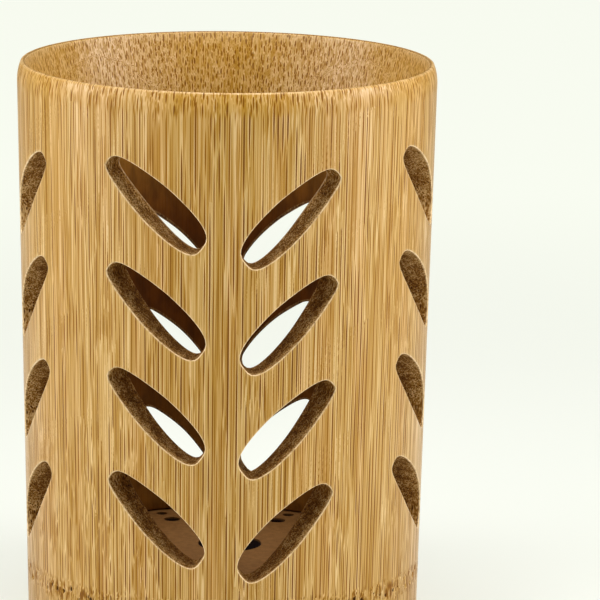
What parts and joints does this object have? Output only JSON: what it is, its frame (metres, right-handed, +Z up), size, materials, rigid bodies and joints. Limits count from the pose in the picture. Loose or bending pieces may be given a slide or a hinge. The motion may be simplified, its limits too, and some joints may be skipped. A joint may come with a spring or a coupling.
{
  "type": "toothbrush cup",
  "caption": "Round bamboo toothbrush cup with a flared mouth, leaf-shaped slots in its wall and a drilled, recessed floor.",
  "frame": {"origin": "centre of the foot ring, on the surface that the cup stands on", "axes": "+Z up along the cup's axis, towards its mouth; -Y through the middle of one group of leaf slots"},
  "size_m": [0.0838, 0.0838, 0.112],
  "materials": {
    "culm_bamboo": "turned and sanded bamboo, thin satin varnish, fine upright fibre streaks",
    "floor_bamboo": "planed bamboo, darker and more matt than the outside"
  },
  "bodies": {
    "root": {"culm_wall": "culm_bamboo", "drain_floor": "floor_bamboo"}
  },
  "joints": []
}
